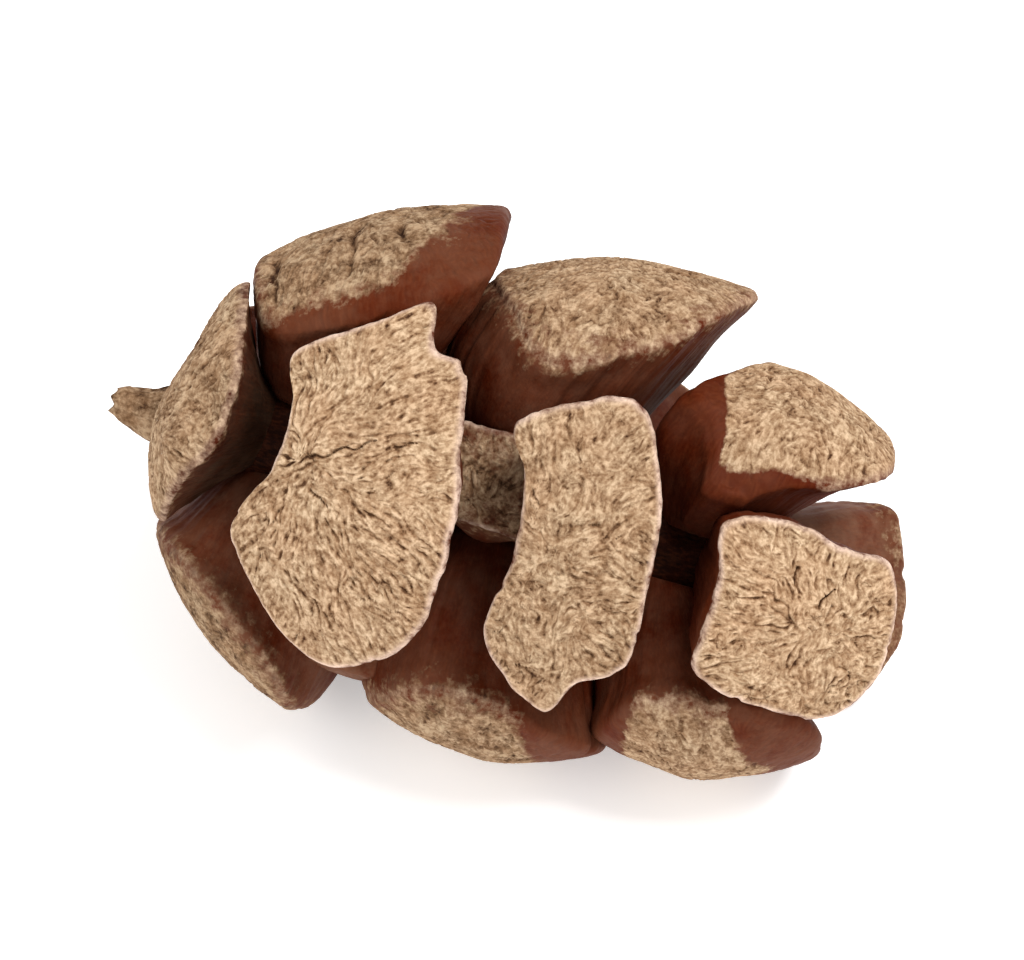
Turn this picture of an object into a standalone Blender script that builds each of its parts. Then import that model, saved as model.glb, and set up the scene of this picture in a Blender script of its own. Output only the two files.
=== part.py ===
"""A dry, opened cypress cone that lies on its side.

A woody axis carries crossed pairs of scales. Each scale is a shield-shaped face on a body that
narrows like a wedge to its root in the axis. The whole cone grew as one piece, so it is one solid.
"""
import math
from dataclasses import dataclass

import bmesh
import bpy
import numpy as np
from mathutils import Matrix, Vector

# Driving dimensions, in metres
CONE_LENGTH = 0.038
STALK_LENGTH = 0.0024
RIM_ROUNDING = 0.00045
FLAT_DEPTH = 0.0003

# How the cone lies, in degrees: its roll about its axis, and how far its tip dips
ROLL = 45.9
TIP_DIP = 5.2

# How finely a scale is divided
POINTS_ROUND = 32
FACE_STEPS = (0.4, 0.7)
BODY_STEPS = (0.10, 0.32, 0.64, 1.0)

# Every length below is in thousandths of a metre on a cone that is 38 of them long
UNIT = CONE_LENGTH / 38.0

# Shield outlines as (toward the tip, sideways) from the middle of the face
FRONT_BASAL = (
    (-2.0, 6.4), (0.8, 6.6), (3.4, 4.7), (4.5, 2.4), (4.4, 0.0), (3.2, -1.8), (1.6, -3.4),
    (-0.2, -5.0), (-2.8, -4.0), (-3.6, -0.6),
)
FRONT_LARGE = (
    (-4.9, 5.5), (-2.0, 7.7), (0.4, 9.3), (1.6, 7.6), (3.4, 7.1), (4.6, 3.4), (5.3, 0.4),
    (5.1, -3.8), (4.0, -6.5), (0.6, -8.7), (-2.0, -7.9), (-5.0, -4.6), (-5.4, -2.8), (-3.9, 0.4),
    (-4.0, 3.4),
)
FRONT_NARROW = (
    (-3.9, 5.4), (-0.3, 7.6), (1.6, 7.6), (2.8, 5.7), (3.9, 2.6), (4.2, -3.2), (3.6, -4.9),
    (1.9, -5.9), (0.8, -7.8), (-1.5, -6.5), (-2.9, -4.4), (-2.5, -0.6), (-2.9, 3.2),
)
FRONT_TIP = (
    (-4.4, 3.6), (-1.4, 4.4), (1.8, 3.7), (4.0, 3.4), (4.8, 0.8), (4.7, -2.4), (3.0, -4.5),
    (0.2, -4.8), (-3.6, -4.0), (-4.2, -2.0), (-4.1, 1.0),
)
TOP_LARGE = (
    (-6.0, -3.0), (-5.6, 2.4), (-3.0, 5.8), (1.6, 6.4), (5.4, 4.4), (6.3, 0.0), (6.3, -4.4),
    (4.6, -6.0), (-1.0, -6.8), (-5.0, -6.0),
)
TOP_MIDDLE = (
    (-6.0, -0.4), (-4.6, 5.0), (0.0, 6.6), (4.2, 4.6), (6.5, 0.8), (5.6, -3.0), (3.0, -6.0),
    (-2.4, -7.0), (-4.7, -4.4),
)
TOP_TIP = (
    (-4.8, -3.4), (-3.4, -1.4), (-1.8, 2.4), (-0.4, 4.8), (3.2, 3.8), (5.2, 0.6), (5.3, -2.6),
    (3.6, -4.8), (1.0, -5.9), (-1.4, -6.9), (-3.2, -5.0),
)
LOW_LARGE = (
    (-7.0, -0.6), (-5.0, -5.6), (0.4, -7.0), (3.6, -4.8), (4.2, 1.6), (2.0, 6.0), (-2.6, 6.6),
    (-6.2, 4.4),
)
LOW_MIDDLE = (
    (-6.0, 0.4), (-3.6, -6.0), (1.4, -6.6), (5.2, -3.6), (5.6, 2.8), (1.6, 6.6), (-3.2, 6.2),
)
LOW_TIP = (
    (-5.6, 0.4), (-3.6, -5.6), (1.4, -6.2), (5.0, -3.6), (5.8, 1.0), (5.4, 5.2), (1.6, 6.8),
    (-3.2, 6.2),
)
BACK_LARGE = (
    (-4.6, 5.6), (0.2, 7.6), (4.2, 5.4), (4.9, -0.6), (4.0, -6.4), (-0.6, -8.2), (-5.2, -5.0),
    (-4.4, 0.4),
)
BACK_TIP = (
    (-4.8, 3.2), (-0.6, 5.2), (3.2, 4.9), (4.3, 2.4), (4.2, 0.2), (3.2, -2.6), (2.4, -4.4),
    (0.4, -4.4), (-2.4, -3.6), (-4.6, -2.4),
)


@dataclass
class Scale:
    """One scale: where its face and root are, how the face tips, and its outline.

    column is the angle round the axis, 0 at the front and 90 at the top. along and reach place the
    middle of the face along the axis and out from it. lean tips the face toward the tip end.
    """
    name: str
    column: float
    along: float
    reach: float
    lean: float
    root: float
    outline: tuple
    dome: tuple
    boss: tuple = (0.0, 0.0)
    root_size: tuple = (3.0, 2.4)


SCALES = (
    Scale("front_0", 0, 0.8, 5.8, -66, 4.0, FRONT_BASAL, (9, 12), root_size=(1.8, 2.4)),
    Scale("back_0", 184, 1.7, 5.8, -64, 4.0, FRONT_BASAL, (9, 12), root_size=(1.8, 2.4)),
    Scale("top_1", 90, 7.5, 11.3, -28, 7.5, TOP_LARGE, (22, 8)),
    Scale("low_1", -94, 6.1, 11.5, -32, 7.5, LOW_LARGE, (14, 9)),
    Scale("front_1", 0, 10.8, 12.4, -12, 11.0, FRONT_LARGE, (16, 13), (-2.2, 1.4), (3.2, 3.4)),
    Scale("back_1", 182, 10.6, 12.0, -12, 11.0, BACK_LARGE, (16, 10), (-1.4, -0.8), (3.2, 3.0)),
    Scale("top_2", 90, 19.6, 12.5, -12, 17.5, TOP_MIDDLE, (20, 8.5), root_size=(3.2, 3.6)),
    Scale("low_2", -88, 19.2, 12.6, 3, 17.5, LOW_MIDDLE, (12, 8.5), root_size=(3.2, 3.6)),
    Scale("front_2", 0, 21.7, 12.4, 2, 21.5, FRONT_NARROW, (14, 13), (-0.4, 0.4), (2.8, 3.4)),
    Scale("back_2", 177, 21.0, 11.0, 1, 21.5, FRONT_NARROW, (14, 11), (0.2, -0.6), (2.8, 3.0)),
    Scale("top_3", 84, 29.8, 9.6, 10, 27.0, TOP_TIP, (12, 7), root_size=(3.0, 3.2)),
    Scale("low_3", -85, 29.8, 10.5, 10, 26.5, LOW_TIP, (11, 8), root_size=(3.0, 3.2)),
    Scale("front_3", 0, 33.0, 10.6, 18, 29.5, FRONT_TIP, (12, 11), (0.2, -0.4), (2.6, 3.0)),
    Scale("back_3", 190, 33.4, 9.8, 22, 29.5, BACK_TIP, (12, 9), (0.0, 0.0), (2.4, 2.6)),
)

# The woody axis as (along, sideways, radius), from the broken stalk to the tip
STALK_TIP = -STALK_LENGTH / UNIT
AXIS_STATIONS = (
    (STALK_TIP, -0.9, 0.6), (STALK_TIP + 0.4, -0.95, 0.9), (STALK_TIP / 4, -1.1, 1.2), (1.2, -0.7, 1.9),
    (4.5, 0.0, 2.8), (12.0, 0.0, 3.2), (24.0, 0.0, 3.2), (31.0, 0.0, 2.2), (33.0, 0.0, 0.9),
)


def clear_scene():
    for thing in list(bpy.data.objects):
        bpy.data.objects.remove(thing, do_unlink=True)


def wood_material():
    """Dry cypress wood: pale tan, matt."""
    material = bpy.data.materials.new("cypress_wood")
    material.use_nodes = True
    shader = material.node_tree.nodes["Principled BSDF"]
    shader.inputs["Base Color"].default_value = (0.42, 0.27, 0.15, 1.0)
    shader.inputs["Roughness"].default_value = 0.85
    shader.inputs["Metallic"].default_value = 0.0
    return material


def smooth_outline(corners, count):
    """Evenly spaced points on a closed Catmull-Rom curve through the corners, counter-clockwise."""
    corners = np.array(corners, float)
    before, after = np.roll(corners, 1, axis=0), np.roll(corners, -1, axis=0)
    beyond = np.roll(corners, -2, axis=0)
    t = np.linspace(0, 1, 12, endpoint=False)[:, None, None]
    curve = 0.5 * (2 * corners + (after - before) * t
                   + (2 * before - 5 * corners + 4 * after - beyond) * t ** 2
                   + (3 * corners - before - 3 * after + beyond) * t ** 3)
    curve = curve.transpose(1, 0, 2).reshape(-1, 2)
    curve = np.vstack([curve, curve[:1]])
    turned = np.sum(curve[:-1, 0] * curve[1:, 1] - curve[1:, 0] * curve[:-1, 1])
    if turned < 0:
        curve = curve[::-1]
    run = np.concatenate([[0.0], np.cumsum(np.linalg.norm(np.diff(curve, axis=0), axis=1))])
    stops = np.linspace(0, run[-1], count, endpoint=False)
    return np.stack([np.interp(stops, run, curve[:, i]) for i in range(2)], axis=1)


def dome_drop(distance, radius):
    """How far a dome of this radius has fallen at this distance from its crown."""
    distance = np.minimum(np.abs(distance), 0.93 * radius)
    return radius - np.sqrt(radius ** 2 - distance ** 2)


def scale_rings(scale):
    """Rings of points from the middle of the face, over the rim and down the body to the root."""
    column, lean = math.radians(scale.column), math.radians(scale.lean)
    axis = np.array((1.0, 0.0, 0.0))
    outward = np.array((0.0, math.sin(column), math.cos(column)))
    sideways = np.array((0.0, math.cos(column), -math.sin(column)))
    normal = math.cos(lean) * outward + math.sin(lean) * axis
    tipward = math.cos(lean) * axis - math.sin(lean) * outward
    centre = scale.along * axis + scale.reach * outward
    root = scale.root * axis + 1.6 * outward
    rounding = RIM_ROUNDING / UNIT

    def on_face(points, sunk=0.0):
        up, across = points[:, 0], points[:, 1]
        height = -dome_drop(up, scale.dome[0]) - dome_drop(across, scale.dome[1]) - sunk
        return centre + np.outer(up, tipward) + np.outer(across, sideways) + np.outer(height, normal)

    boss = np.array(scale.boss)
    outline = smooth_outline(scale.outline, POINTS_ROUND)
    spokes = outline - boss
    inner = 1.0 - rounding / np.linalg.norm(spokes, axis=1, keepdims=True)
    rings = [on_face(boss[None])]
    rings += [on_face(boss + step * spokes) for step in FACE_STEPS]
    rings.append(on_face(boss + inner * spokes))
    rim = on_face(outline, rounding)
    rings.append(rim)

    middle = rim.mean(axis=0)
    angle = np.arctan2(spokes[:, 1], spokes[:, 0])
    foot = (np.outer(scale.root_size[0] * np.cos(angle), axis)
            + np.outer(scale.root_size[1] * np.sin(angle), sideways))
    for step in BODY_STEPS:
        under_lip = min(step / 0.22, 1.0)
        narrowing = 0.9 * step ** 1.35 + 0.1 * under_lip ** 2 * (3 - 2 * under_lip)
        spine = middle + step * (root - middle)
        rings.append(spine + (1 - narrowing) * (rim - middle) + narrowing * foot)
    rings.append(root[None])
    return rings


def axis_rings():
    angle = np.linspace(0, 2 * math.pi, 16, endpoint=False)
    rings = []
    for along, side, radius in AXIS_STATIONS:
        across, up = side + radius * np.sin(-angle), radius * np.cos(angle)
        rings.append(np.stack([np.full(16, along), across, up], axis=1))
    return [rings[0].mean(axis=0)[None]] + rings + [rings[-1].mean(axis=0)[None]]


def lofted_object(name, rings):
    """A closed skin over rings of points, the first and the last ring being single points."""
    body = bmesh.new()
    loops = [[body.verts.new(point * UNIT) for point in ring] for ring in rings]
    for near, far in zip(loops, loops[1:]):
        count = max(len(near), len(far))
        for i in range(count):
            j = (i + 1) % count
            if len(near) == 1:
                body.faces.new((near[0], far[i], far[j]))
            elif len(far) == 1:
                body.faces.new((near[i], far[0], near[j]))
            else:
                body.faces.new((near[i], far[i], far[j]))
                body.faces.new((near[i], far[j], near[j]))
    bmesh.ops.recalc_face_normals(body, faces=body.faces)
    mesh = bpy.data.meshes.new(name)
    body.to_mesh(mesh)
    body.free()
    thing = bpy.data.objects.new(name, mesh)
    bpy.context.scene.collection.objects.link(thing)
    return thing


def apply_modifiers(thing):
    bpy.context.view_layer.objects.active = thing
    for modifier in list(thing.modifiers):
        bpy.ops.object.modifier_apply(modifier=modifier.name)


def fuse(trunk, branches):
    """One union of the trunk with all its branches."""
    grown = bpy.data.collections.new("scales")
    bpy.context.scene.collection.children.link(grown)
    for branch in branches:
        bpy.context.scene.collection.objects.unlink(branch)
        grown.objects.link(branch)
    union = trunk.modifiers.new("union", "BOOLEAN")
    union.operation = "UNION"
    union.operand_type = "COLLECTION"
    union.solver = "EXACT"
    union.collection = grown
    apply_modifiers(trunk)
    for branch in branches:
        bpy.data.objects.remove(branch, do_unlink=True)
    bpy.data.collections.remove(grown)


def lay_down(thing):
    """Turns the cone as it lies and trims the lowest corners to small flats at height zero."""
    roll = Matrix.Rotation(math.radians(90 - ROLL), 4, "X")
    dip = Matrix.Rotation(math.radians(TIP_DIP), 4, "Y")
    thing.data.transform(dip @ roll)
    corners = [vertex.co.copy() for vertex in thing.data.vertices]
    floor = min(corner.z for corner in corners) + FLAT_DEPTH
    body = bmesh.new()
    body.from_mesh(thing.data)
    cut = bmesh.ops.bisect_plane(body, geom=body.verts[:] + body.edges[:] + body.faces[:],
                                 plane_co=(0, 0, floor), plane_no=(0, 0, -1), clear_outer=True)
    rims = [piece for piece in cut["geom_cut"] if isinstance(piece, bmesh.types.BMEdge)]
    bmesh.ops.holes_fill(body, edges=rims)
    bmesh.ops.triangulate(body, faces=body.faces[:])
    bmesh.ops.recalc_face_normals(body, faces=body.faces)
    body.to_mesh(thing.data)
    body.free()
    corners = [vertex.co for vertex in thing.data.vertices]
    low = Vector(min(corner[i] for corner in corners) for i in range(3))
    high = Vector(max(corner[i] for corner in corners) for i in range(3))
    thing.data.transform(Matrix.Translation((-(low.x + high.x) / 2, -(low.y + high.y) / 2, -low.z)))


def build():
    clear_scene()
    cone = lofted_object("cone", axis_rings())
    scales = [lofted_object(scale.name, scale_rings(scale)) for scale in SCALES]
    fuse(cone, scales)
    lay_down(cone)
    cone.data.materials.clear()
    cone.data.materials.append(wood_material())
    cone.data.shade_smooth()
    cone.data.set_sharp_from_angle(angle=math.radians(40))


build()
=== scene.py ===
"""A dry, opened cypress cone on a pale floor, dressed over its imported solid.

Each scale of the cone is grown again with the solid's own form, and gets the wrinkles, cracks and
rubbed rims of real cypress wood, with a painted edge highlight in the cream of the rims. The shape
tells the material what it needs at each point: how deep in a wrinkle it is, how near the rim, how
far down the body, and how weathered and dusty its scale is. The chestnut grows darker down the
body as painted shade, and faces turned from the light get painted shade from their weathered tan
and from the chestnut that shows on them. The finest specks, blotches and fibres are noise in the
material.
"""
import math
from dataclasses import dataclass

import bpy
import numpy as np
from mathutils import Matrix, Vector


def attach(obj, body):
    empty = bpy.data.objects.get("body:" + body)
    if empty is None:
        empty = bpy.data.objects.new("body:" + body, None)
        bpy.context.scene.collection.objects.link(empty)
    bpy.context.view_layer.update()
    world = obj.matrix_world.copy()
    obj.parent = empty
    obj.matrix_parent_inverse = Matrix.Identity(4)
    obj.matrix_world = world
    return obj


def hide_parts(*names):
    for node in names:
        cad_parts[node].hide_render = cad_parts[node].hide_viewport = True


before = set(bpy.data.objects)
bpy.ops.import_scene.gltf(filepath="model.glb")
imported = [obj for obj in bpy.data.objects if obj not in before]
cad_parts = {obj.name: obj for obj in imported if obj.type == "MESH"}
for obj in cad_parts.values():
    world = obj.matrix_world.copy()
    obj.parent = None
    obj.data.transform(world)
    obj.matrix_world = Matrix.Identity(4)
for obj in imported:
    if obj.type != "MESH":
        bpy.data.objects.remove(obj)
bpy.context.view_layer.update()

# Lengths are in thousandths of a metre and angles in degrees, unless a comment says metres
UNIT = 0.001

# The solid's driving dimensions: its roll and dip, the stalk's end, the rims' rounding, the roots' reach
ROLL = 45.9
TIP_DIP = 5.2
STALK_TIP = -2.4
RIM_ROUNDING = 0.32
ROOT_REACH = 1.6

# Where the axis starts, in metres
AXIS_START = Vector((-0.017512, 0.000509, 0.012675))

# How finely a face is divided, as cells from its middle to its rim
FINEST_CELLS = 100
FINE_CELLS = 80
MEDIUM_CELLS = 60
COARSE_CELLS = 44

# Rings round the rim and down the body, points round the axis, and rings along it
ROUND_STEPS = 4
BODY_RINGS = 22
AXIS_AROUND = 96
AXIS_RINGS = 150

# A smooth outline has this many points from one corner to the next
CURVE_STEPS = 40

# The wrinkles of a face are traced this many steps each way, each step this long
WRINKLE_STEPS = 4
WRINKLE_STEP = 0.12

# How wide the cream line along a rim is, a rubbed edge with a painted edge highlight in it, and how far the
# face's border moves where it is rubbed off and where it gets painted shade
RIM_LINE = 0.17
BARE_AND_SHADE_REACH = 3.0

# The face value runs from minus this, where all is body, up to this, where all is face
FACE_LIMIT = 6.0

# The noise: how many directions it picks from, and the primes that mix a place with a seed
DIRECTIONS = 4096
PLACE_PRIMES = np.array((73856093, 19349663, 83492791))
SEED_PRIME = 2654435761

# Each scale has a hundred seeds of its own, and the axis has the ones after this
SEEDS_EACH = 100
AXIS_SEED = 60

# The view of the photograph, in degrees
AZIMUTH = 16.0
ELEVATION = 55.0

# The camera, in metres: what it is aimed at, how far it is, the width it sees, and the nearest thing
AIM = Vector((-0.00054, 0.00191, 0.01034))
CAMERA_DISTANCE = 0.5
FRAME_WIDTH = 0.0495
NEAREST = 0.01

# The camera's sensor is this wide
SENSOR_WIDTH = 36.0

# The world's brightness, and the lights as (name, place, size, power), in metres and watts
WORLD_STRENGTH = 0.62
LIGHTS = (
    ("key", (0.30, 0.05, 0.75), 0.30, 5.0),
    ("fill", (-0.5, -0.45, 0.6), 0.6, 2.0),
)
CONE_MIDDLE = Vector((0, 0, 0.01))

# The floor's reach each way and its drop below the cone, in metres, and the light it gives off
FLOOR_REACH = 3.0
FLOOR_DROP = 0.00003
FLOOR_GLOW = 0.38
WHITE = (1.0, 1.0, 1.0, 1.0)

# Colours as they look on a screen, 0 to 255. The ramps run from the lightest wood to the darkest
FRESH_TAN = (
    (0.0, (226, 197, 163)), (0.38, (182, 152, 120)), (0.75, (136, 104, 76)), (1.0, (72, 46, 31)),
)
# The weathered tan is partly painted shade, for faces turned away from the light
WEATHERED_AND_SHADED_TAN = (
    (0.0, (176, 150, 120)), (0.38, (136, 110, 84)), (0.75, (90, 66, 46)), (1.0, (46, 29, 20)),
)
# The chestnut ramp's darker end is painted shade, reached deep down the bodies and at the axis
CHESTNUT_INTO_PAINTED_SHADE = (
    (0.0, (86, 33, 11)), (0.2, (84, 27, 7)), (0.6, (76, 23, 6)), (1.0, (30, 10, 4)),
)
FACE_BLOTCH = (224, 186, 160)
FACE_MOTTLE = (156, 118, 84)
# The rim cream is a rubbed edge with a painted edge highlight in it
RIM_CREAM_AND_HIGHLIGHT = (238, 208, 188)
BODY_GROOVE = (44, 19, 11)
BODY_FIBRE = (146, 78, 44)
DARK_DUST = (140, 106, 80)
PALE_DUST = (180, 146, 116)

# The height of the finest bumps, in metres, and the slight gloss of the wood
BUMP_HEIGHT = 0.00009
WOOD_GLOSS = 0.05

# Shield outlines as (toward the tip, sideways) from the middle of the face
FRONT_BASAL = (
    (-2.0, 6.4), (0.8, 6.6), (3.4, 4.7), (4.5, 2.4), (4.4, 0.0), (3.2, -1.8), (1.6, -3.4),
    (-0.2, -5.0), (-2.8, -4.0), (-3.6, -0.6),
)
FRONT_LARGE = (
    (-4.9, 5.5), (-2.0, 7.7), (0.4, 9.3), (1.6, 7.6), (3.4, 7.1), (4.6, 3.4), (5.3, 0.4),
    (5.1, -3.8), (4.0, -6.5), (0.6, -8.7), (-2.0, -7.9), (-5.0, -4.6), (-5.4, -2.8), (-3.9, 0.4),
    (-4.0, 3.4),
)
FRONT_NARROW = (
    (-3.9, 5.4), (-0.3, 7.6), (1.6, 7.6), (2.8, 5.7), (3.9, 2.6), (4.2, -3.2), (3.6, -4.9),
    (1.9, -5.9), (0.8, -7.8), (-1.5, -6.5), (-2.9, -4.4), (-2.5, -0.6), (-2.9, 3.2),
)
FRONT_TIP = (
    (-4.4, 3.6), (-1.4, 4.4), (1.8, 3.7), (4.0, 3.4), (4.8, 0.8), (4.7, -2.4), (3.0, -4.5),
    (0.2, -4.8), (-3.6, -4.0), (-4.2, -2.0), (-4.1, 1.0),
)
TOP_LARGE = (
    (-6.0, -3.0), (-5.6, 2.4), (-3.0, 5.8), (1.6, 6.4), (5.4, 4.4), (6.3, 0.0), (6.3, -4.4),
    (4.6, -6.0), (-1.0, -6.8), (-5.0, -6.0),
)
TOP_MIDDLE = (
    (-6.0, -0.4), (-4.6, 5.0), (0.0, 6.6), (4.2, 4.6), (6.5, 0.8), (5.6, -3.0), (3.0, -6.0),
    (-2.4, -7.0), (-4.7, -4.4),
)
TOP_TIP = (
    (-4.8, -3.4), (-3.4, -1.4), (-1.8, 2.4), (-0.4, 4.8), (3.2, 3.8), (5.2, 0.6), (5.3, -2.6),
    (3.6, -4.8), (1.0, -5.9), (-1.4, -6.9), (-3.2, -5.0),
)
LOW_LARGE = (
    (-7.0, -0.6), (-5.0, -5.6), (0.4, -7.0), (3.6, -4.8), (4.2, 1.6), (2.0, 6.0), (-2.6, 6.6),
    (-6.2, 4.4),
)
LOW_MIDDLE = (
    (-6.0, 0.4), (-3.6, -6.0), (1.4, -6.6), (5.2, -3.6), (5.6, 2.8), (1.6, 6.6), (-3.2, 6.2),
)
LOW_TIP = (
    (-5.6, 0.4), (-3.6, -5.6), (1.4, -6.2), (5.0, -3.6), (5.8, 1.0), (5.4, 5.2), (1.6, 6.8),
    (-3.2, 6.2),
)
BACK_LARGE = (
    (-4.6, 5.6), (0.2, 7.6), (4.2, 5.4), (4.9, -0.6), (4.0, -6.4), (-0.6, -8.2), (-5.2, -5.0),
    (-4.4, 0.4),
)
BACK_TIP = (
    (-4.8, 3.2), (-0.6, 5.2), (3.2, 4.9), (4.3, 2.4), (4.2, 0.2), (3.2, -2.6), (2.4, -4.4),
    (0.4, -4.4), (-2.4, -3.6), (-4.6, -2.4),
)

# The rough webs of wood that join neighbouring scales
WEB = (
    (-2.7, -1.1), (-2.8, 2.7), (-2.2, 3.3), (0.8, 3.3), (2.3, 3.1), (2.8, 0.6), (2.7, -1.3),
    (0.2, -1.3),
)


@dataclass
class Scale:
    """One scale: where its face and root are, how the face tips, its outline and its wear.

    column is the angle round the axis, 0 at the front and 90 at the top. along and reach place the
    middle of the face along the axis and out from it. lean tips the face toward the tip end. root
    is where along the axis the body grows from, and root_size its half length and half width there.
    dome gives the radii that the face curves on, lengthwise and sideways, and boss is the (u, v) of
    its low peak. cells is how finely the face is divided. bulge swells the body toward a (u, v) of
    the face, with a share for how far the other side thins.

    fan is how strictly the wrinkles run out from the boss. pale is how bright the rim is, a rubbed
    edge with a painted edge highlight in it. dark is how much painted shade deepens the chestnut of
    the body, and grey how weathered the face is, partly as painted shade on faces turned from the
    light. dust is how much lies on the body, and ragged how wide the border between face and body
    is. The face shows the chestnut of the body past the lines of bare, rubbed off in part and
    painted shade in part, each given as (a, b, c), where a times u plus b times v is more than c.
    dents are (u, v, radius, depth), and cracks run between two points of the face, with a width.
    """
    name: str
    column: float
    along: float
    reach: float
    lean: float
    root: float
    outline: tuple
    dome: tuple
    boss: tuple = (0.0, 0.0)
    root_size: tuple = (3.0, 2.4)
    cells: int = COARSE_CELLS
    bulge: tuple = (0.0, 0.0, 0.0)
    fan: float = 1.0
    pale: float = 0.1
    painted_shade: float = 0.0
    weathering_and_shade: float = 0.5
    dust: float = 0.1
    ragged: float = 0.3
    bare_and_shaded: tuple = ()
    dents: tuple = ()
    cracks: tuple = ()


SCALES = (
    Scale("front_0", 0, 0.8, 5.8, -66, 4.0, FRONT_BASAL, (9, 12), root_size=(1.8, 2.4),
          cells=MEDIUM_CELLS, pale=0.3, painted_shade=1.2, weathering_and_shade=0.45, ragged=0.4,
          dents=((-3.5, 3.5, 2.6, 1.1), (3.0, 1.8, 1.3, 0.5), (2.4, -0.8, 1.4, -0.5))),
    Scale("back_0", 184, 1.7, 5.8, -64, 4.0, FRONT_BASAL, (9, 12), root_size=(1.8, 2.4), weathering_and_shade=0.6),
    Scale("top_1", 90, 7.5, 11.3, -28, 7.5, TOP_LARGE, (22, 8), cells=FINE_CELLS, bulge=(1.1, -0.3, 0.0),
          weathering_and_shade=0.8, ragged=1.1, bare_and_shaded=((1.0, -0.6, 4.2), (0.0, -1.0, 5.6)),
          cracks=(((-0.7, -1.8), (-1.0, -5.2), 0.28), ((1.5, -2.6), (1.7, -4.0), 0.16),
                  ((-4.9, -2.0), (-4.6, -5.4), 0.22))),
    Scale("low_1", -94, 6.1, 11.5, -32, 7.5, LOW_LARGE, (14, 9), bulge=(1.7, 0.0, 0.0),
          weathering_and_shade=1.0, dust=0.15, ragged=0.9),
    Scale("front_1", 0, 10.8, 12.4, -12, 11.0, FRONT_LARGE, (16, 13), (-2.2, 1.4), (3.2, 3.4),
          FINEST_CELLS, fan=1.6, pale=1.0, weathering_and_shade=0.05, dust=0.05, ragged=0.15,
          cracks=(((-2.1, 1.3), (0.8, 2.9), 0.06), ((1.5, 3.0), (2.6, 3.5), 0.05),
                  ((-1.7, -0.1), (-0.5, -0.7), 0.06))),
    Scale("back_1", 182, 10.6, 12.0, -12, 11.0, BACK_LARGE, (16, 10), (-1.4, -0.8), (3.2, 3.0),
          pale=0.6, weathering_and_shade=0.3),
    Scale("web_1", 6, 17.0, 6.6, 0, 17.0, WEB, (30, 20), root_size=(2.2, 2.6),
          fan=0.3, pale=0.8, weathering_and_shade=0.5, ragged=2.5),
    Scale("web_2", -86, 12.2, 10.6, 0, 12.2, WEB, (9, 9), root_size=(2.2, 2.6),
          dust=0.25, ragged=0.5, bare_and_shaded=((0.0, 0.0, -3.0),)),
    Scale("top_2", 90, 19.6, 12.5, -12, 17.5, TOP_MIDDLE, (20, 8.5), root_size=(3.2, 3.6), cells=FINE_CELLS,
          bulge=(-1.3, -0.2, 0.0), painted_shade=0.1, weathering_and_shade=0.4, dust=0.12, ragged=0.9,
          cracks=(((1.2, -0.2), (2.3, -0.8), 0.18), ((2.3, -0.8), (3.9, -0.9), 0.18))),
    Scale("low_2", -88, 19.2, 12.6, 3, 17.5, LOW_MIDDLE, (12, 8.5), root_size=(3.2, 3.6),
          bulge=(-1.1, 0.0, 0.0), weathering_and_shade=0.8, dust=0.1, ragged=0.9, bare_and_shaded=((1.0, 0.0, 1.8),)),
    Scale("front_2", 0, 21.7, 12.4, 2, 21.5, FRONT_NARROW, (14, 13), (-0.4, 0.4), (2.8, 3.4), FINE_CELLS,
          pale=1.0, weathering_and_shade=0.28, dust=0.05, ragged=0.15),
    Scale("back_2", 177, 21.0, 11.0, 1, 21.5, FRONT_NARROW, (14, 11), (0.2, -0.6), (2.8, 3.0),
          pale=0.6, weathering_and_shade=0.3),
    Scale("top_3", 84, 29.8, 9.6, 10, 27.0, TOP_TIP, (12, 7), root_size=(3.0, 3.2), cells=FINE_CELLS,
          bulge=(-1.1, -0.2, 1.0), fan=0.6, pale=0.2, painted_shade=0.25, weathering_and_shade=0.15, dust=0.05, ragged=0.3,
          bare_and_shaded=((-1.0, -0.3, 3.6), (0.16, -1.0, 5.5))),
    Scale("low_3", -85, 29.8, 10.5, 10, 26.5, LOW_TIP, (11, 8), root_size=(3.0, 3.2),
          weathering_and_shade=0.45, ragged=0.6, bare_and_shaded=((1.0, 0.0, 1.3), (-1.0, 0.0, 2.8))),
    Scale("front_3", 0, 33.0, 10.6, 18, 29.5, FRONT_TIP, (12, 11), (0.2, -0.4), (2.6, 3.0), FINE_CELLS,
          fan=0.9, pale=1.0, weathering_and_shade=0.0, dust=0.05, ragged=0.15,
          cracks=(((-0.7, 2.5), (-0.6, 1.5), 0.08), ((0.8, 0.9), (1.3, 1.8), 0.08))),
    Scale("back_3", 190, 33.4, 9.8, 22, 29.5, BACK_TIP, (12, 9), (0.0, 0.0), (2.4, 2.6),
          weathering_and_shade=0.6, dust=0.2, ragged=1.4),
)

# The woody axis as (along, sideways, radius), from the broken stalk to the tip
AXIS_STATIONS = (
    (STALK_TIP, -0.9, 0.6), (STALK_TIP + 0.4, -0.95, 0.9), (STALK_TIP / 4, -1.1, 1.2), (1.2, -0.7, 1.9),
    (4.5, 0.0, 2.8), (12.0, 0.0, 3.2), (24.0, 0.0, 3.2), (31.0, 0.0, 2.2), (33.0, 0.0, 0.9),
)


def noise_directions():
    """The unit directions that the noise picks from, the same each run."""
    directions = np.random.default_rng(11).normal(size=(DIRECTIONS, 3))
    return directions / np.linalg.norm(directions, axis=1, keepdims=True)


GRADIENTS = noise_directions()


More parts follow.
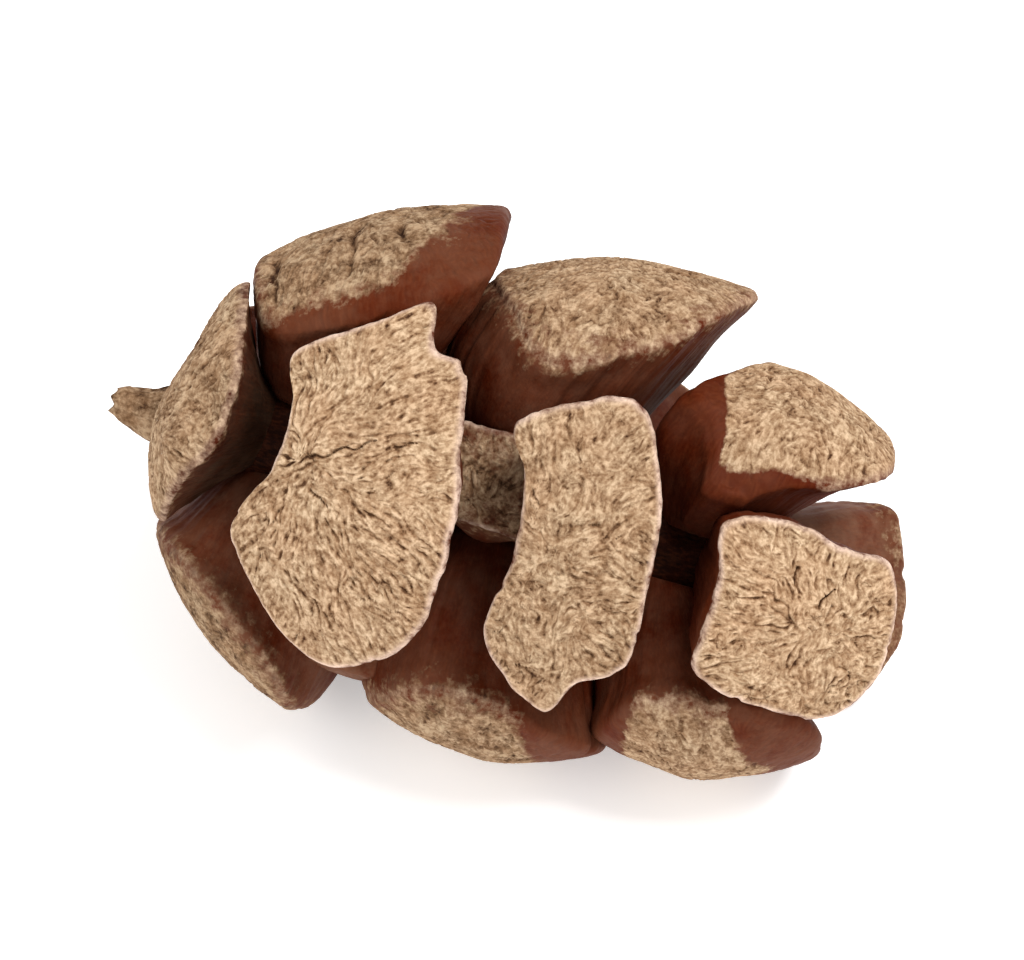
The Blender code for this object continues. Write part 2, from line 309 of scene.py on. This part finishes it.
def noise(points, seed):
    """Smooth gradient noise, about -1 to 1, with features about one unit across."""
    cell = np.floor(points).astype(np.int64)
    inside = points - cell
    fade = inside ** 3 * (inside * (inside * 6 - 15) + 10)
    total = np.zeros(len(points))
    for corner in np.ndindex(2, 2, 2):
        key = np.bitwise_xor.reduce((cell + corner) * PLACE_PRIMES, axis=1) ^ (seed * SEED_PRIME)
        gradient = GRADIENTS[(key ^ (key >> 13)) & (DIRECTIONS - 1)]
        weight = np.prod(np.where(corner, fade, 1 - fade), axis=1)
        total += weight * np.sum(gradient * (inside - corner), axis=1)
    return total * 1.6


def flat_noise(flat, size, seed):
    """Noise on a face, with features of the given size."""
    return noise(np.column_stack([flat / size, np.full(len(flat), seed * 0.37 + size)]), seed)


def smooth_step(low, high, value):
    """0 up to low, 1 from high on, and a smooth rise between them."""
    t = np.clip((value - low) / (high - low), 0, 1)
    return t * t * (3 - 2 * t)


def smooth_outline(corners, count):
    """Evenly spaced points on a closed Catmull-Rom curve through the corners, counter-clockwise."""
    corners = np.array(corners, float)
    before, after = np.roll(corners, 1, axis=0), np.roll(corners, -1, axis=0)
    beyond = np.roll(corners, -2, axis=0)
    t = np.linspace(0, 1, CURVE_STEPS, endpoint=False)[:, None, None]
    curve = 0.5 * (2 * corners + (after - before) * t
                   + (2 * before - 5 * corners + 4 * after - beyond) * t ** 2
                   + (3 * corners - before - 3 * after + beyond) * t ** 3)
    curve = curve.transpose(1, 0, 2).reshape(-1, 2)
    curve = np.vstack([curve, curve[:1]])
    winding = np.sum(curve[:-1, 0] * curve[1:, 1] - curve[1:, 0] * curve[:-1, 1])
    if winding < 0:
        curve = curve[::-1]
    run = np.concatenate([[0.0], np.cumsum(np.linalg.norm(np.diff(curve, axis=0), axis=1))])
    stops = np.linspace(0, run[-1], count, endpoint=False)
    return np.stack([np.interp(stops, run, curve[:, i]) for i in range(2)], axis=1)


def chipped(outline, seed):
    """The outline with the small waves and chips of a grown edge."""
    wave = flat_noise(outline, 1.7, seed) * 0.13 + flat_noise(outline, 0.6, seed + 1) * 0.05
    chip = np.maximum(flat_noise(outline, 1.1, seed + 2) - 0.45, 0) * 0.6
    inward = outline.mean(axis=0) - outline
    inward /= np.linalg.norm(inward, axis=1, keepdims=True)
    return outline + inward * (wave + chip)[:, None]


def disc_grid(cells):
    """A square grid wrapped on a disc: how far out each point is, 0 to 1, and the rim point it faces."""
    step = np.arange(-cells, cells + 1)
    a, b = np.meshgrid(step, step, indexing="ij")
    ring = np.maximum(np.abs(a), np.abs(b))
    place = np.where(a == -ring, 5 * ring - b, 0)
    place = np.where(b == ring, 3 * ring - a, place)
    place = np.where((a == ring) & (b > -ring), b + ring, place)
    place = np.where(b == -ring, (7 * ring + a) % np.maximum(8 * ring, 1), place)
    return ring / cells, place / np.maximum(ring, 1) * cells


def along_rim(values, rim_point):
    """Values given at each rim point, read between them."""
    count = len(values)
    low = np.floor(rim_point).astype(int)
    share = (rim_point - low)[..., None]
    return values[low % count] * (1 - share) + values[(low + 1) % count] * share


def line_distance(points, start, end):
    """How far points are from a stretch of line, and how far along it they are, 0 to 1."""
    start, end = np.array(start, float), np.array(end, float)
    run = end - start
    share = np.clip((points - start) @ run / (run @ run), 0, 1)
    return np.linalg.norm(points - start - share[:, None] * run, axis=1), share


def dome_drop(distance, radius):
    """How far a dome of this radius has fallen at this distance from its crown."""
    distance = np.minimum(np.abs(distance), 0.93 * radius)
    return radius - np.sqrt(radius ** 2 - distance ** 2)


def bare_and_shaded_share(flat, scale):
    """How far each point of a face lies past the lines where the body's chestnut shows on it, rubbed off in
    part and painted shade in part, 0 to 1.
    """
    if not scale.bare_and_shaded:
        return np.zeros(len(flat))
    past = [a * flat[:, 0] + b * flat[:, 1] - c for a, b, c in scale.bare_and_shaded]
    return smooth_step(0.0, 1.5, np.max(past, axis=0))


def wrinkle_direction(flat, scale, seed):
    """Which way the wrinkles run: out from the boss, bending and curling as they go."""
    bend = np.column_stack([flat_noise(flat, 0.6, seed + 1), flat_noise(flat, 0.6, seed + 2)])
    swirl = np.column_stack([flat_noise(flat, 2.6, seed + 3), flat_noise(flat, 2.6, seed + 4)])
    away = flat - scale.boss
    away /= np.linalg.norm(away, axis=1, keepdims=True) + 0.3
    direction = scale.fan * away + 1.5 * bend + 1.5 * swirl
    return direction / np.maximum(np.linalg.norm(direction, axis=1, keepdims=True), 0.05)


def wrinkle_paths(flat, scale, seed):
    """Short paths through each point that follow the wrinkles, as a list of steps from end to end."""
    direction = wrinkle_direction(flat, scale, seed)
    paths = []
    for sign in (-1, 1):
        place, heading, steps = flat, direction, []
        for _ in range(WRINKLE_STEPS):
            place = place + sign * WRINKLE_STEP * heading
            heading = wrinkle_direction(place, scale, seed)
            steps.append(place)
        paths.append(steps)
    return direction, paths[0][::-1] + [flat] + paths[1]


def smeared(path, size, seed):
    """Noise averaged along each path, so that it forms lines. Its spread is 1."""
    total = sum(flat_noise(place, size, seed) for place in path)
    return total / total.std()


def face_relief(flat, scale, seed):
    """The wrinkles of a face: their height, how deep in a groove each point is, and their direction."""
    direction, path = wrinkle_paths(flat, scale, seed)
    lines = smeared(path, 0.20, seed + 5)
    dashes = smeared(path[WRINKLE_STEPS - 1:WRINKLE_STEPS + 2], 0.20, seed + 6)
    creases = smooth_step(0.1, 1.8, lines)
    hairs = smooth_step(0.0, 1.8, dashes)
    worms = smooth_step(0.05, 0.75, flat_noise(flat + 0.35 * direction, 0.42, seed + 8))
    patch = smooth_step(-0.6, 0.5, flat_noise(flat, 2.4, seed + 7))
    height = -0.12 * creases * (0.45 + 0.55 * patch) - 0.05 * hairs - 0.07 * worms
    height += 0.13 * flat_noise(flat, 3.4, seed + 9) + 0.06 * flat_noise(flat, 1.2, seed + 10)
    distance = np.linalg.norm(flat - scale.boss, axis=1)
    height += 0.16 * np.exp(-(distance / 1.6) ** 2)
    for u, v, radius, depth in scale.dents:
        height -= depth * np.exp(-(np.linalg.norm(flat - (u, v), axis=1) / radius) ** 2)
    groove = 0.74 * creases * (0.45 + 0.55 * patch) + 0.22 * hairs + 0.34 * worms
    wander = np.column_stack([flat_noise(flat, 0.8, seed + 11), flat_noise(flat, 0.8, seed + 12)])
    for start, end, width in scale.cracks:
        gap, share = line_distance(flat + 0.3 * wander, start, end)
        cut = np.exp(-(gap / (width * (1.15 - 0.7 * share))) ** 2)
        height -= 0.25 * cut
        groove = np.maximum(groove, 1.5 * cut)
    return height, np.clip(groove, 0, 1.6), direction


def scale_axes(scale):
    """Directions of a scale: along the cone, out from it, sideways, off the face, and tipward on it."""
    column, lean = math.radians(scale.column), math.radians(scale.lean)
    axis = np.array((1.0, 0.0, 0.0))
    outward = np.array((0.0, math.sin(column), math.cos(column)))
    sideways = np.array((0.0, math.cos(column), -math.sin(column)))
    normal = math.cos(lean) * outward + math.sin(lean) * axis
    tipward = math.cos(lean) * axis - math.sin(lean) * outward
    return axis, outward, sideways, normal, tipward


class Skin:
    """Points, faces and surface values of one scale while it grows ring by ring."""

    def __init__(self):
        self.points, self.faces = [], []
        self.values = {name: [] for name in ("groove", "rim", "depth", "face", "fan", "grain")}

    def add(self, points, **values):
        """Adds points with their surface values, and gives the numbers of the points."""
        start = sum(len(block) for block in self.points)
        self.points.append(points)
        for name, value in values.items():
            shape = (len(points), 3) if name in ("fan", "grain") else (len(points),)
            self.values[name].append(np.broadcast_to(value, shape).astype(float))
        return start + np.arange(len(points))

    def bridge(self, ring, following):
        """Joins two closed rings of points with a band of faces."""
        quads = np.stack([ring, following, np.roll(following, -1), np.roll(ring, -1)], axis=-1)
        self.faces += quads.tolist()

    def finished(self):
        """All the points, faces and surface values."""
        values = {name: np.concatenate(blocks) for name, blocks in self.values.items()}
        return np.concatenate(self.points), self.faces, values


def face_values(flat, inward, scale, seed):
    """The height of a face's relief and its surface values, where inward is how far the rim is."""
    height, groove, direction = face_relief(flat, scale, seed)
    # Past the bare lines the face takes the body's chestnut: rubbed wood in part, painted shade in part
    bared_and_shaded = bare_and_shaded_share(flat, scale)
    height *= (0.4 + 0.6 * smooth_step(0.0, 0.6, inward)) * (1 - 0.6 * bared_and_shaded)
    broken = 0.8 + 0.5 * flat_noise(flat, 1.4, seed + 13)
    values = {
        "groove": groove * (0.4 + 0.6 * smooth_step(0.0, 0.35, inward)),
        # The rim line: a rubbed edge with a painted edge highlight
        "rim": scale.pale * np.clip(broken, 0, 1) * np.exp(-(inward / RIM_LINE) ** 2),
        # Painted shade: how much more this scale's body chestnut is darkened
        "depth": scale.painted_shade,
        "face": np.clip((inward - BARE_AND_SHADE_REACH * bared_and_shaded) / scale.ragged, -FACE_LIMIT, FACE_LIMIT),
        "fan": np.column_stack([flat - scale.boss, np.full(len(flat), float(seed))]),
        "grain": np.column_stack([direction, np.zeros(len(flat))]),
    }
    return height, values


def grow_face(skin, scale, seed, on_face, outline):
    """The face with its rounded rim. Gives the outermost ring: its numbers and its points."""
    boss = np.array(scale.boss)
    spokes = outline - boss
    unit = spokes / np.linalg.norm(spokes, axis=1, keepdims=True)
    inner = spokes - unit * RIM_ROUNDING
    far, rim_point = disc_grid(scale.cells)
    facing = along_rim(inner, rim_point)
    flats = [(boss + far[..., None] * facing).reshape(-1, 2)]
    inward = [((1 - far) * np.linalg.norm(facing, axis=-1)).reshape(-1) + RIM_ROUNDING]
    fall = [np.zeros(len(flats[0]))]
    for turned in np.arange(1, ROUND_STEPS + 1) / ROUND_STEPS * math.pi / 2:
        flats.append(boss + inner + unit * RIM_ROUNDING * math.sin(turned))
        inward.append(np.full(len(outline), RIM_ROUNDING * (1 - math.sin(turned))))
        fall.append(np.full(len(outline), RIM_ROUNDING * (1 - math.cos(turned))))
    flat, inward, fall = np.concatenate(flats), np.concatenate(inward), np.concatenate(fall)
    height, values = face_values(flat, inward, scale, seed)
    points = on_face(flat, height - fall)
    numbers = skin.add(points, **values)

    size = 2 * scale.cells + 1
    index = numbers[:size * size].reshape(size, size)
    cells = np.stack([index[:-1, :-1], index[1:, :-1], index[1:, 1:], index[:-1, 1:]], axis=-1)
    skin.faces += cells.reshape(-1, 4).tolist()
    ring = np.concatenate([index[-1, :-1], index[::-1, -1][:-1], index[0, ::-1][:-1], index[:-1, 0]])
    for following in numbers[size * size:].reshape(ROUND_STEPS, -1):
        skin.bridge(ring, following)
        ring = following
    return ring, points[ring]


def root_and_swell(scale, outline, axis, sideways):
    """For each point of the outline, its place round the root, and how far the body swells there."""
    spokes = outline - scale.boss
    angle = np.arctan2(spokes[:, 1], spokes[:, 0])
    foot = (np.outer(scale.root_size[0] * np.cos(angle), axis)
            + np.outer(scale.root_size[1] * np.sin(angle), sideways))
    swell = np.cos(angle) * scale.bulge[0] + np.sin(angle) * scale.bulge[1]
    return foot, np.where(swell > 0, swell, scale.bulge[2] * swell)


def body_relief(points, outline, deep, seed):
    """The lumps, ribs, threads and pits of a ring of the body: how far out, and how deep in a groove."""
    around = np.column_stack([outline, np.zeros(len(outline))])
    lumps = noise(points / 2.4 + 30, seed)
    ribs = noise(around / 0.8 + (0, 0, deep / 5.0), seed + 7)
    thread = noise(around / 0.33 + (0, 0, deep / 1.6), seed + 8)
    pits = noise(points / 0.5, seed + 9)
    rough = 0.18 * lumps + 0.05 * ribs + 0.02 * thread + 0.02 * pits
    return rough, np.clip(0.4 - 0.4 * thread - 0.3 * ribs - 0.4 * pits, 0, 1)


def grow_scale(scale, seed):
    """The points, faces and surface values of one scale, in the cone's own axes."""
    axis, outward, sideways, normal, tipward = scale_axes(scale)
    centre = scale.along * axis + scale.reach * outward
    root = scale.root * axis + ROOT_REACH * outward
    outline = chipped(smooth_outline(scale.outline, 8 * scale.cells), seed)

    def on_face(flat, raised):
        """Puts flat points on the domed face, raised off it."""
        lengthwise, across = scale.dome
        height = raised - dome_drop(flat[:, 0], lengthwise) - dome_drop(flat[:, 1], across)
        return (centre + np.outer(flat[:, 0], tipward) + np.outer(flat[:, 1], sideways)
                + np.outer(height, normal))

    skin = Skin()
    ring, rim = grow_face(skin, scale, seed, on_face, outline)
    middle = on_face(outline, np.full(len(outline), -RIM_ROUNDING)).mean(axis=0)
    foot, swell = root_and_swell(scale, outline, axis, sideways)
    length = np.linalg.norm(root - middle)
    # The body's chestnut reaches onto the face past the bare lines: rubbed wood in part, painted shade in
    # part
    bared_and_shaded = BARE_AND_SHADE_REACH * bare_and_shaded_share(outline, scale)
    for step in (np.arange(1, BODY_RINGS + 1) / BODY_RINGS) ** 1.3:
        under_lip = min(step / 0.22, 1.0)
        narrowing = 0.9 * step ** 1.35 + 0.1 * under_lip ** 2 * (3 - 2 * under_lip)
        spine = middle + step * (root - middle)
        points = spine + (1 - narrowing) * (rim - middle) + narrowing * foot
        out = points - spine
        out /= np.linalg.norm(out, axis=1, keepdims=True)
        deep = step * length
        rough, groove = body_relief(points, outline, deep, seed)
        raised = smooth_step(0.0, 0.12, step) * rough + swell * math.sin(math.pi * step ** 0.8)
        # Painted shade: depth darkens the chestnut down the body toward the root, plus the scale's own
        # share
        following = skin.add(points + out * raised[:, None], groove=groove, rim=0.0,
                             depth=step + scale.painted_shade,
                             face=np.clip((-deep - bared_and_shaded) / scale.ragged, -FACE_LIMIT, FACE_LIMIT),
                             fan=np.column_stack([outline, np.full(len(outline), seed + deep)]),
                             grain=(0.0, 0.0, 1.0))
        skin.bridge(ring, following)
        ring = following

    last = skin.add(root[None], groove=0.5, rim=0.0, depth=1.0, face=-FACE_LIMIT, fan=(0, 0, seed),
                    grain=(0, 0, 1))[0]
    skin.faces += [(near, last, far) for near, far in zip(ring.tolist(), np.roll(ring, -1).tolist())]
    points, faces, values = skin.finished()
    values["weathering_and_shade"] = np.full(len(points), scale.weathering_and_shade)
    values["dust"] = np.full(len(points), scale.dust)
    return points, faces, values


def axis_ring(along, shift, radius):
    """One ring of points round the axis, with its grooves, lumps and pits."""
    angle = np.linspace(0, 2 * math.pi, AXIS_AROUND, endpoint=False)
    ring = np.column_stack([np.full(AXIS_AROUND, along), shift - radius * np.sin(angle),
                            radius * np.cos(angle)])
    out = ring - (along, shift, 0.0)
    out /= np.linalg.norm(out, axis=1, keepdims=True)
    grooves = noise(np.column_stack([out[:, 1:] * 3.2, np.full(AXIS_AROUND, along / 3.5)]), AXIS_SEED + 1)
    lumps = noise(ring / 1.1, AXIS_SEED + 2)
    pits = noise(ring / 0.4, AXIS_SEED + 3)
    rough = min(radius, 1.2) * (0.10 * grooves + 0.10 * lumps + 0.03 * pits)
    return ring + out * rough[:, None]


def axis_faces(count):
    """The faces over the axis's points: a fan at each end, and bands between the rings."""
    faces = []
    last = 1 + (AXIS_RINGS - 1) * AXIS_AROUND
    for i in range(AXIS_AROUND):
        j = (i + 1) % AXIS_AROUND
        faces.append((0, 1 + i, 1 + j))
        faces.append((last + i, count - 1, last + j))
        for r in range(AXIS_RINGS - 1):
            near, following = 1 + r * AXIS_AROUND, 1 + (r + 1) * AXIS_AROUND
            faces.append((near + i, following + i, following + j, near + j))
    return faces


def grow_axis():
    """The woody axis with its broken stalk, as points, faces and surface values."""
    stations = np.array(AXIS_STATIONS)
    run = np.linspace(stations[0, 0], stations[-1, 0], AXIS_RINGS)
    side = np.interp(run, stations[:, 0], stations[:, 1])
    radius = np.interp(run, stations[:, 0], stations[:, 2])
    rings = [axis_ring(*station) for station in zip(run, side, radius)]
    broken = np.column_stack([rings[0][:, 1:] * 2.2, np.zeros(AXIS_AROUND)])
    rings[0][:, 0] += 0.25 * noise(broken, AXIS_SEED + 4)
    stalk_end = rings[0].mean(axis=0)[None] + (0.2, 0, 0)
    points = np.concatenate([stalk_end] + rings + [rings[-1].mean(axis=0)[None]])
    stalk = 1 - smooth_step(0.5, 2.5, points[:, 0])
    dusty = smooth_step(12.0, 14.0, points[:, 0]) - smooth_step(18.0, 20.0, points[:, 0])
    values = {
        "face": 8 * stalk - 4,
        "groove": np.clip(0.4 - 0.8 * noise(points / 0.5, AXIS_SEED + 5), 0, 1),
        "rim": np.zeros(len(points)),
        # Painted shade: the axis is darkest deep inside the cone, less in the dusty band, none on the stalk
        "depth": (1 - stalk) * (1.6 - 0.9 * dusty),
        "weathering_and_shade": np.full(len(points), 0.9),
        "dust": 0.35 * dusty,
        "fan": points,
        "grain": np.tile((1.0, 0.0, 0.0), (len(points), 1)),
    }
    return points, axis_faces(len(points)), values


def lay_down():
    """From the cone's own axes to the way it lies, in metres."""
    roll = Matrix.Rotation(math.radians(90 - ROLL), 4, "X")
    dip = Matrix.Rotation(math.radians(TIP_DIP), 4, "Y")
    return Matrix.Translation(AXIS_START) @ dip @ roll @ Matrix.Scale(UNIT, 4)


def rest_on_floor(mesh):
    """Makes a mesh flat where it would reach below the floor."""
    places = np.empty(len(mesh.vertices) * 3)
    mesh.vertices.foreach_get("co", places)
    places[2::3] = np.maximum(places[2::3], 0.0)
    mesh.vertices.foreach_set("co", places)


def store_values(mesh, values):
    """Gives a mesh its surface values, as one attribute each."""
    for name, numbers in values.items():
        kind, field = ("FLOAT_VECTOR", "vector") if numbers.ndim == 2 else ("FLOAT", "value")
        data = mesh.attributes.new(name, kind, "POINT").data
        data.foreach_set(field, numbers.astype(np.float32).reshape(-1))


def add_piece(name, grown, material):
    """A piece of the lying cone, which stands for the solid and takes its finish."""
    points, faces, values = grown
    mesh = bpy.data.meshes.new(name)
    mesh.from_pydata(points.tolist(), [], faces)
    mesh.transform(lay_down())
    rest_on_floor(mesh)
    store_values(mesh, values)
    mesh.shade_smooth()
    mesh.materials.append(material)
    piece = bpy.data.objects.new(name, mesh)
    bpy.context.scene.collection.objects.link(piece)
    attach(piece, "root")
    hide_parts("cone")


def srgb(colour):
    """A colour given as it looks on a screen, 0 to 255, as Blender takes it."""
    linear = []
    for part in colour:
        part /= 255
        linear.append(part / 12.92 if part <= 0.04045 else ((part + 0.055) / 1.055) ** 2.4)
    return (*linear, 1.0)


class Nodes:
    """Short calls for building a material's nodes."""

    def __init__(self, material):
        material.use_nodes = True
        self.tree = material.node_tree
        self.tree.nodes.clear()

    def add(self, kind, **inputs):
        """A new node, with these of its inputs set or linked."""
        node = self.tree.nodes.new(kind)
        for name, value in inputs.items():
            self.put(node.inputs[name.replace("_", " ")], value)
        return node

    def put(self, socket, value):
        """Links a socket to another one, or sets it to a number or colour."""
        if isinstance(value, bpy.types.NodeSocket):
            self.tree.links.new(value, socket)
        else:
            socket.default_value = value

    def attribute(self, name, output="Fac"):
        """A surface value of the mesh."""
        node = self.tree.nodes.new("ShaderNodeAttribute")
        node.attribute_name = name
        return node.outputs[output]

    def math(self, operation, *values, clamp=False):
        """Arithmetic on values, kept from 0 to 1 where clamp is set."""
        node = self.tree.nodes.new("ShaderNodeMath")
        node.operation = operation
        node.use_clamp = clamp
        for socket, value in zip(node.inputs, values):
            self.put(socket, value)
        return node.outputs[0]

    def noise(self, scale, detail, roughness, at):
        """Noise, 0 to 1, with about scale features to each unit of the place it is read at."""
        node = self.add("ShaderNodeTexNoise", Scale=scale, Detail=detail, Roughness=roughness, Vector=at)
        return node.outputs["Fac"]

    def fibres(self, at, direction, size, length):
        """Noise smeared along a direction, so that it looks like short fibres, 0 to 1."""
        stops = (-0.5, -0.25, 0.0, 0.25, 0.5)
        total = 0.0
        for stop in stops:
            node = self.tree.nodes.new("ShaderNodeVectorMath")
            node.operation = "MULTIPLY_ADD"
            for socket, value in zip(node.inputs, (direction, (stop * length,) * 3, at)):
                self.put(socket, value)
            total = self.math("ADD", total, self.noise(1 / size, 1.0, 0.5, node.outputs[0]))
        return self.map(total, len(stops) * 0.36, len(stops) * 0.64)

    def map(self, value, low, high, new_low=0.0, new_high=1.0):
        """A value brought from one range to another, and kept inside it."""
        node = self.tree.nodes.new("ShaderNodeMapRange")
        for name, number in (("Value", value), ("From Min", low), ("From Max", high),
                             ("To Min", new_low), ("To Max", new_high)):
            self.put(node.inputs[name], number)
        return node.outputs[0]

    def mix(self, share, first, second, blend="MIX"):
        """The first colour, with this share of the second laid over it."""
        node = self.tree.nodes.new("ShaderNodeMix")
        node.data_type = "RGBA"
        node.blend_type = blend
        self.put(node.inputs[0], share)
        self.put(node.inputs[6], first)
        self.put(node.inputs[7], second)
        return node.outputs[2]

    def ramp(self, value, stops):
        """The colour that belongs to a value, from stops of (value, colour)."""
        node = self.tree.nodes.new("ShaderNodeValToRGB")
        while len(node.color_ramp.elements) < len(stops):
            node.color_ramp.elements.new(0.5)
        for element, (place, colour) in zip(node.color_ramp.elements, stops):
            element.position = place
            element.color = srgb(colour)
        self.put(node.inputs[0], value)
        return node.outputs[0]


def face_wood(n, place, fan, fibre):
    """The tan of the faces: darker in the grooves, greyer where it has weathered and as painted shade on
    faces turned from the light, with a light cream rim that holds a painted edge highlight.
    """
    weathering_and_shade = n.attribute("weathering_and_shade")
    speckle = n.noise(3800.0, 4.0, 0.65, place)
    blotch = n.noise(420.0, 3.0, 0.55, place)
    mottle = n.noise(1.1, 4.0, 0.6, fan)
    strands = n.math("MULTIPLY_ADD", n.attribute("groove"), 0.62, n.map(fibre, 0.0, 1.0, 0.5, -0.02))
    strands = n.math("MULTIPLY", strands, n.map(weathering_and_shade, 0.0, 1.0, 1.0, 0.55))
    pitted = n.map(n.noise(900.0, 5.0, 0.65, place), 0.38, 0.65, -0.16, 0.5)
    darkness = n.math("ADD", strands, n.map(speckle, 0.35, 0.65, -0.26, 0.30))
    darkness = n.math("MULTIPLY_ADD", pitted, n.math("ADD", weathering_and_shade, 0.3), darkness, clamp=True)
    # Weathered tan, which is partly painted shade on faces turned from the light
    wood = n.mix(weathering_and_shade, n.ramp(darkness, FRESH_TAN), n.ramp(darkness, WEATHERED_AND_SHADED_TAN))
    blotched = n.mix(1.0, wood, srgb(FACE_BLOTCH), "MULTIPLY")
    wood = n.mix(n.map(blotch, 0.35, 0.7, 0.0, 0.3), wood, blotched)
    wood = n.mix(n.map(mottle, 0.4, 0.7, 0.0, 0.4), wood, srgb(FACE_MOTTLE))
    # The rim line: a rubbed edge with a painted edge highlight
    return n.mix(n.attribute("rim"), wood, srgb(RIM_CREAM_AND_HIGHLIGHT))


def body_wood(n, place, fibre):
    """The chestnut of the bodies: darker toward the root as painted shade, darker in the grooves, with dust
    in patches.
    """
    mottle = n.noise(900.0, 4.0, 0.6, place)
    uneven = n.map(mottle, 0.3, 0.7, -0.1, 0.1)
    # Painted shade: depth darkens the chestnut down the bodies and at the axis
    darkness = n.math("MULTIPLY_ADD", n.attribute("depth"), 0.6, uneven, clamp=True)
    grooved = n.math("MULTIPLY", n.attribute("groove"), 0.3)
    side = n.mix(grooved, n.ramp(darkness, CHESTNUT_INTO_PAINTED_SHADE), srgb(BODY_GROOVE))
    side = n.mix(n.map(fibre, 0.3, 1.0, 0.0, 0.12), side, srgb(BODY_FIBRE))
    patches = n.map(n.noise(300.0, 5.0, 0.7, place), 0.64, 0.46)
    amount = n.math("MULTIPLY", patches, n.attribute("dust"), clamp=True)
    dust = n.mix(n.map(mottle, 0.35, 0.65), srgb(DARK_DUST), srgb(PALE_DUST))
    return n.mix(amount, side, dust)


def cypress_wood():
    """One material for the whole cone: the face attribute says where tan gives way to chestnut."""
    material = bpy.data.materials.new("cypress_wood")
    n = Nodes(material)
    fan = n.attribute("fan", "Vector")
    fibre = n.fibres(fan, n.attribute("grain", "Vector"), 0.15, 0.22)
    place = n.add("ShaderNodeTexCoord").outputs["Object"]
    border = n.map(n.noise(1700.0, 4.0, 0.65, place), 0.3, 0.7, -1.2, 1.0)
    share = n.map(n.math("ADD", n.attribute("face"), border), -0.8, 0.8)
    colour = n.mix(share, body_wood(n, place, fibre), face_wood(n, place, fan, fibre))
    specks = n.math("MULTIPLY", n.noise(6000.0, 3.0, 0.6, place), 0.4)
    height = n.math("MULTIPLY_ADD", n.math("MULTIPLY", share, 0.8), fibre, specks)
    bump = n.add("ShaderNodeBump", Strength=0.6, Distance=BUMP_HEIGHT, Height=height)
    shader = n.add("ShaderNodeBsdfPrincipled", Base_Color=colour, Normal=bump.outputs[0],
                   Roughness=n.map(share, 0.0, 1.0, 0.6, 0.85))
    shader.inputs["Specular IOR Level"].default_value = WOOD_GLOSS
    n.add("ShaderNodeOutputMaterial", Surface=shader.outputs[0])
    return material


def pale_floor():
    """The floor, which gives off a little light of its own so that it stays white."""
    material = bpy.data.materials.new("pale_floor")
    material.use_nodes = True
    shader = material.node_tree.nodes["Principled BSDF"]
    for name, value in (("Base Color", WHITE), ("Roughness", 0.9), ("Specular IOR Level", 0.1),
                        ("Emission Color", WHITE), ("Emission Strength", FLOOR_GLOW)):
        shader.inputs[name].default_value = value
    mesh = bpy.data.meshes.new("floor")
    corners = [(x * FLOOR_REACH, y * FLOOR_REACH, 0) for x, y in ((-1, -1), (1, -1), (1, 1), (-1, 1))]
    mesh.from_pydata(corners, [], [(0, 1, 2, 3)])
    mesh.materials.append(material)
    floor = bpy.data.objects.new("floor", mesh)
    floor.location.z = -FLOOR_DROP
    bpy.context.scene.collection.objects.link(floor)


def soft_light(name, place, size, power):
    """A square light above the cone, facing it."""
    light = bpy.data.lights.new(name, "AREA")
    light.size = size
    light.energy = power
    lamp = bpy.data.objects.new(name, light)
    lamp.location = place
    lamp.rotation_euler = (CONE_MIDDLE - Vector(place)).to_track_quat("-Z", "Y").to_euler()
    bpy.context.scene.collection.objects.link(lamp)


def studio():
    """A white world with a few soft lights."""
    world = bpy.data.worlds.new("studio")
    world.use_nodes = True
    background = world.node_tree.nodes["Background"]
    background.inputs["Color"].default_value = WHITE
    background.inputs["Strength"].default_value = WORLD_STRENGTH
    bpy.context.scene.world = world
    for light in LIGHTS:
        soft_light(*light)
    bpy.context.scene.view_settings.view_transform = "Standard"


def photo_camera():
    """The camera at the photograph's viewing angle."""
    turn, rise = math.radians(AZIMUTH), math.radians(ELEVATION)
    toward = Vector((math.sin(turn) * math.cos(rise), -math.cos(turn) * math.cos(rise), math.sin(rise)))
    lens = bpy.data.cameras.new("camera")
    lens.sensor_width = SENSOR_WIDTH
    lens.lens = SENSOR_WIDTH * CAMERA_DISTANCE / FRAME_WIDTH
    lens.clip_start = NEAREST
    camera = bpy.data.objects.new("camera", lens)
    camera.location = AIM + CAMERA_DISTANCE * toward
    camera.rotation_euler = toward.to_track_quat("Z", "Y").to_euler()
    bpy.context.scene.collection.objects.link(camera)
    bpy.context.scene.camera = camera


def build():
    """The cone's pieces, the floor, the lights and the camera."""
    wood = cypress_wood()
    for number, scale in enumerate(SCALES, start=1):
        add_piece(scale.name, grow_scale(scale, SEEDS_EACH * number), wood)
    add_piece("axis", grow_axis(), wood)
    pale_floor()
    studio()
    photo_camera()


build()
